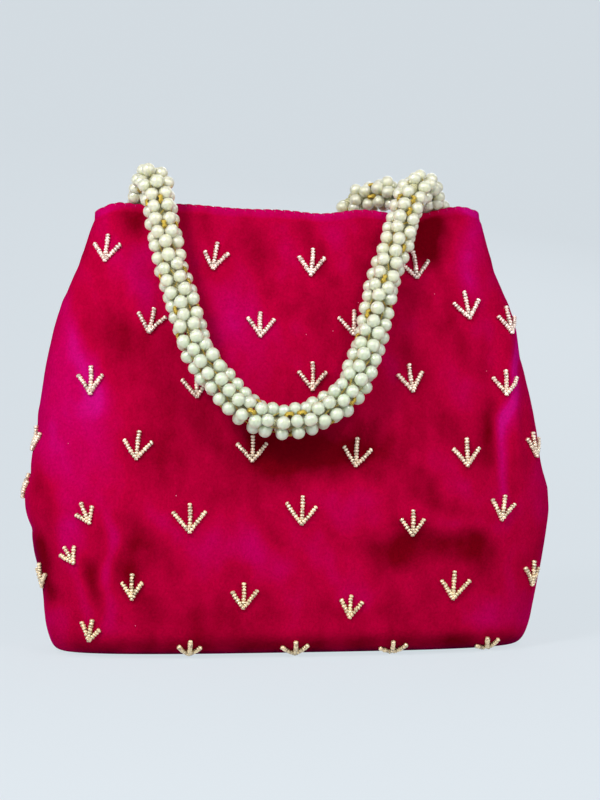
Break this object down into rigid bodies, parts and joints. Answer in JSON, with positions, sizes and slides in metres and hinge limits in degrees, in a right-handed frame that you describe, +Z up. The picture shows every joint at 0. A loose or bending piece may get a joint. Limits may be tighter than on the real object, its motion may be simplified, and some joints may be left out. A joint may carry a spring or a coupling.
{
  "type": "velvet potli handbag",
  "caption": "Soft velvet handbag with a flat open top, flared sides, a boxed base, two pearl-woven rope handles and small bead sprigs.",
  "frame": {"origin": "on the floor, under the middle of the bag's bounding box", "axes": "+X to the bag's right as seen from the front, +Y towards its back, +Z up"},
  "size_m": [0.2382, 0.115, 0.22],
  "materials": {
    "velvet": "matte",
    "lining": "satin",
    "board": "matte",
    "snap_metal": "polished",
    "pearl": "gloss",
    "handle_cord": "satin",
    "sprig_beads": "polished",
    "thread": "satin"
  },
  "bodies": {
    "bag": {"front_velvet": "velvet", "back_velvet": "velvet", "base_velvet": "velvet", "front_lining": "lining", "back_lining": "lining", "base_lining": "lining", "base_board": "board", "snap_socket": "snap_metal", "snap_stud": "snap_metal", "front_left_tab": "lining", "front_right_tab": "lining", "back_left_tab": "lining", "back_right_tab": "lining", "front_left_cord_end": "handle_cord", "front_right_cord_end": "handle_cord", "back_left_cord_end": "handle_cord", "back_right_cord_end": "handle_cord", "front_left_end_row": "pearl", "front_right_end_row": "pearl", "back_left_end_row": "pearl", "back_right_end_row": "pearl"},
    "front_fold_1": {"front_left_fold_row_1": "pearl", "front_right_fold_row_1": "pearl"},
    "front_fold_2": {"front_left_fold_row_2": "pearl", "front_right_fold_row_2": "pearl"},
    "front_handle": {"front_pearls": "pearl", "front_cord": "handle_cord"},
    "back_fold_1": {"back_left_fold_row_1": "pearl", "back_right_fold_row_1": "pearl"},
    "back_fold_2": {"back_left_fold_row_2": "pearl", "back_right_fold_row_2": "pearl"},
    "back_handle": {"back_pearls": "pearl", "back_cord": "handle_cord"}
  },
  "joints": [
    {"name": "front_hem_bend", "type": "hinge", "parent": "bag", "child": "front_fold_1", "pos_m": [0, -0.0087, 0.2102], "axis": [-1, 0, 0], "range_deg": [0, 55.67]},
    {"name": "front_mid_bend", "type": "hinge", "parent": "front_fold_1", "child": "front_fold_2", "pos_m": [0, -0.01613, 0.21528], "axis": [-1, 0, 0], "range_deg": [0, 55.67]},
    {"name": "front_handle_lift", "type": "hinge", "parent": "front_fold_2", "child": "front_handle", "pos_m": [0, -0.02451, 0.212], "axis": [-1, 0, 0], "range_deg": [0, 55.67]},
    {"name": "back_hem_bend", "type": "hinge", "parent": "bag", "child": "back_fold_1", "pos_m": [0, 0.0087, 0.2102], "axis": [1, 0, 0], "range_deg": [0, 55.67]},
    {"name": "back_mid_bend", "type": "hinge", "parent": "back_fold_1", "child": "back_fold_2", "pos_m": [0, 0.01613, 0.21528], "axis": [1, 0, 0], "range_deg": [0, 55.67]},
    {"name": "back_handle_lift", "type": "hinge", "parent": "back_fold_2", "child": "back_handle", "pos_m": [0, 0.02451, 0.212], "axis": [1, 0, 0], "range_deg": [0, 55.67]}
  ],
  "couplings": [
    {"joint": "front_hem_bend", "follows": "front_handle_lift", "ratio": 1},
    {"joint": "front_mid_bend", "follows": "front_handle_lift", "ratio": 1},
    {"joint": "back_hem_bend", "follows": "back_handle_lift", "ratio": 1},
    {"joint": "back_mid_bend", "follows": "back_handle_lift", "ratio": 1}
  ]
}
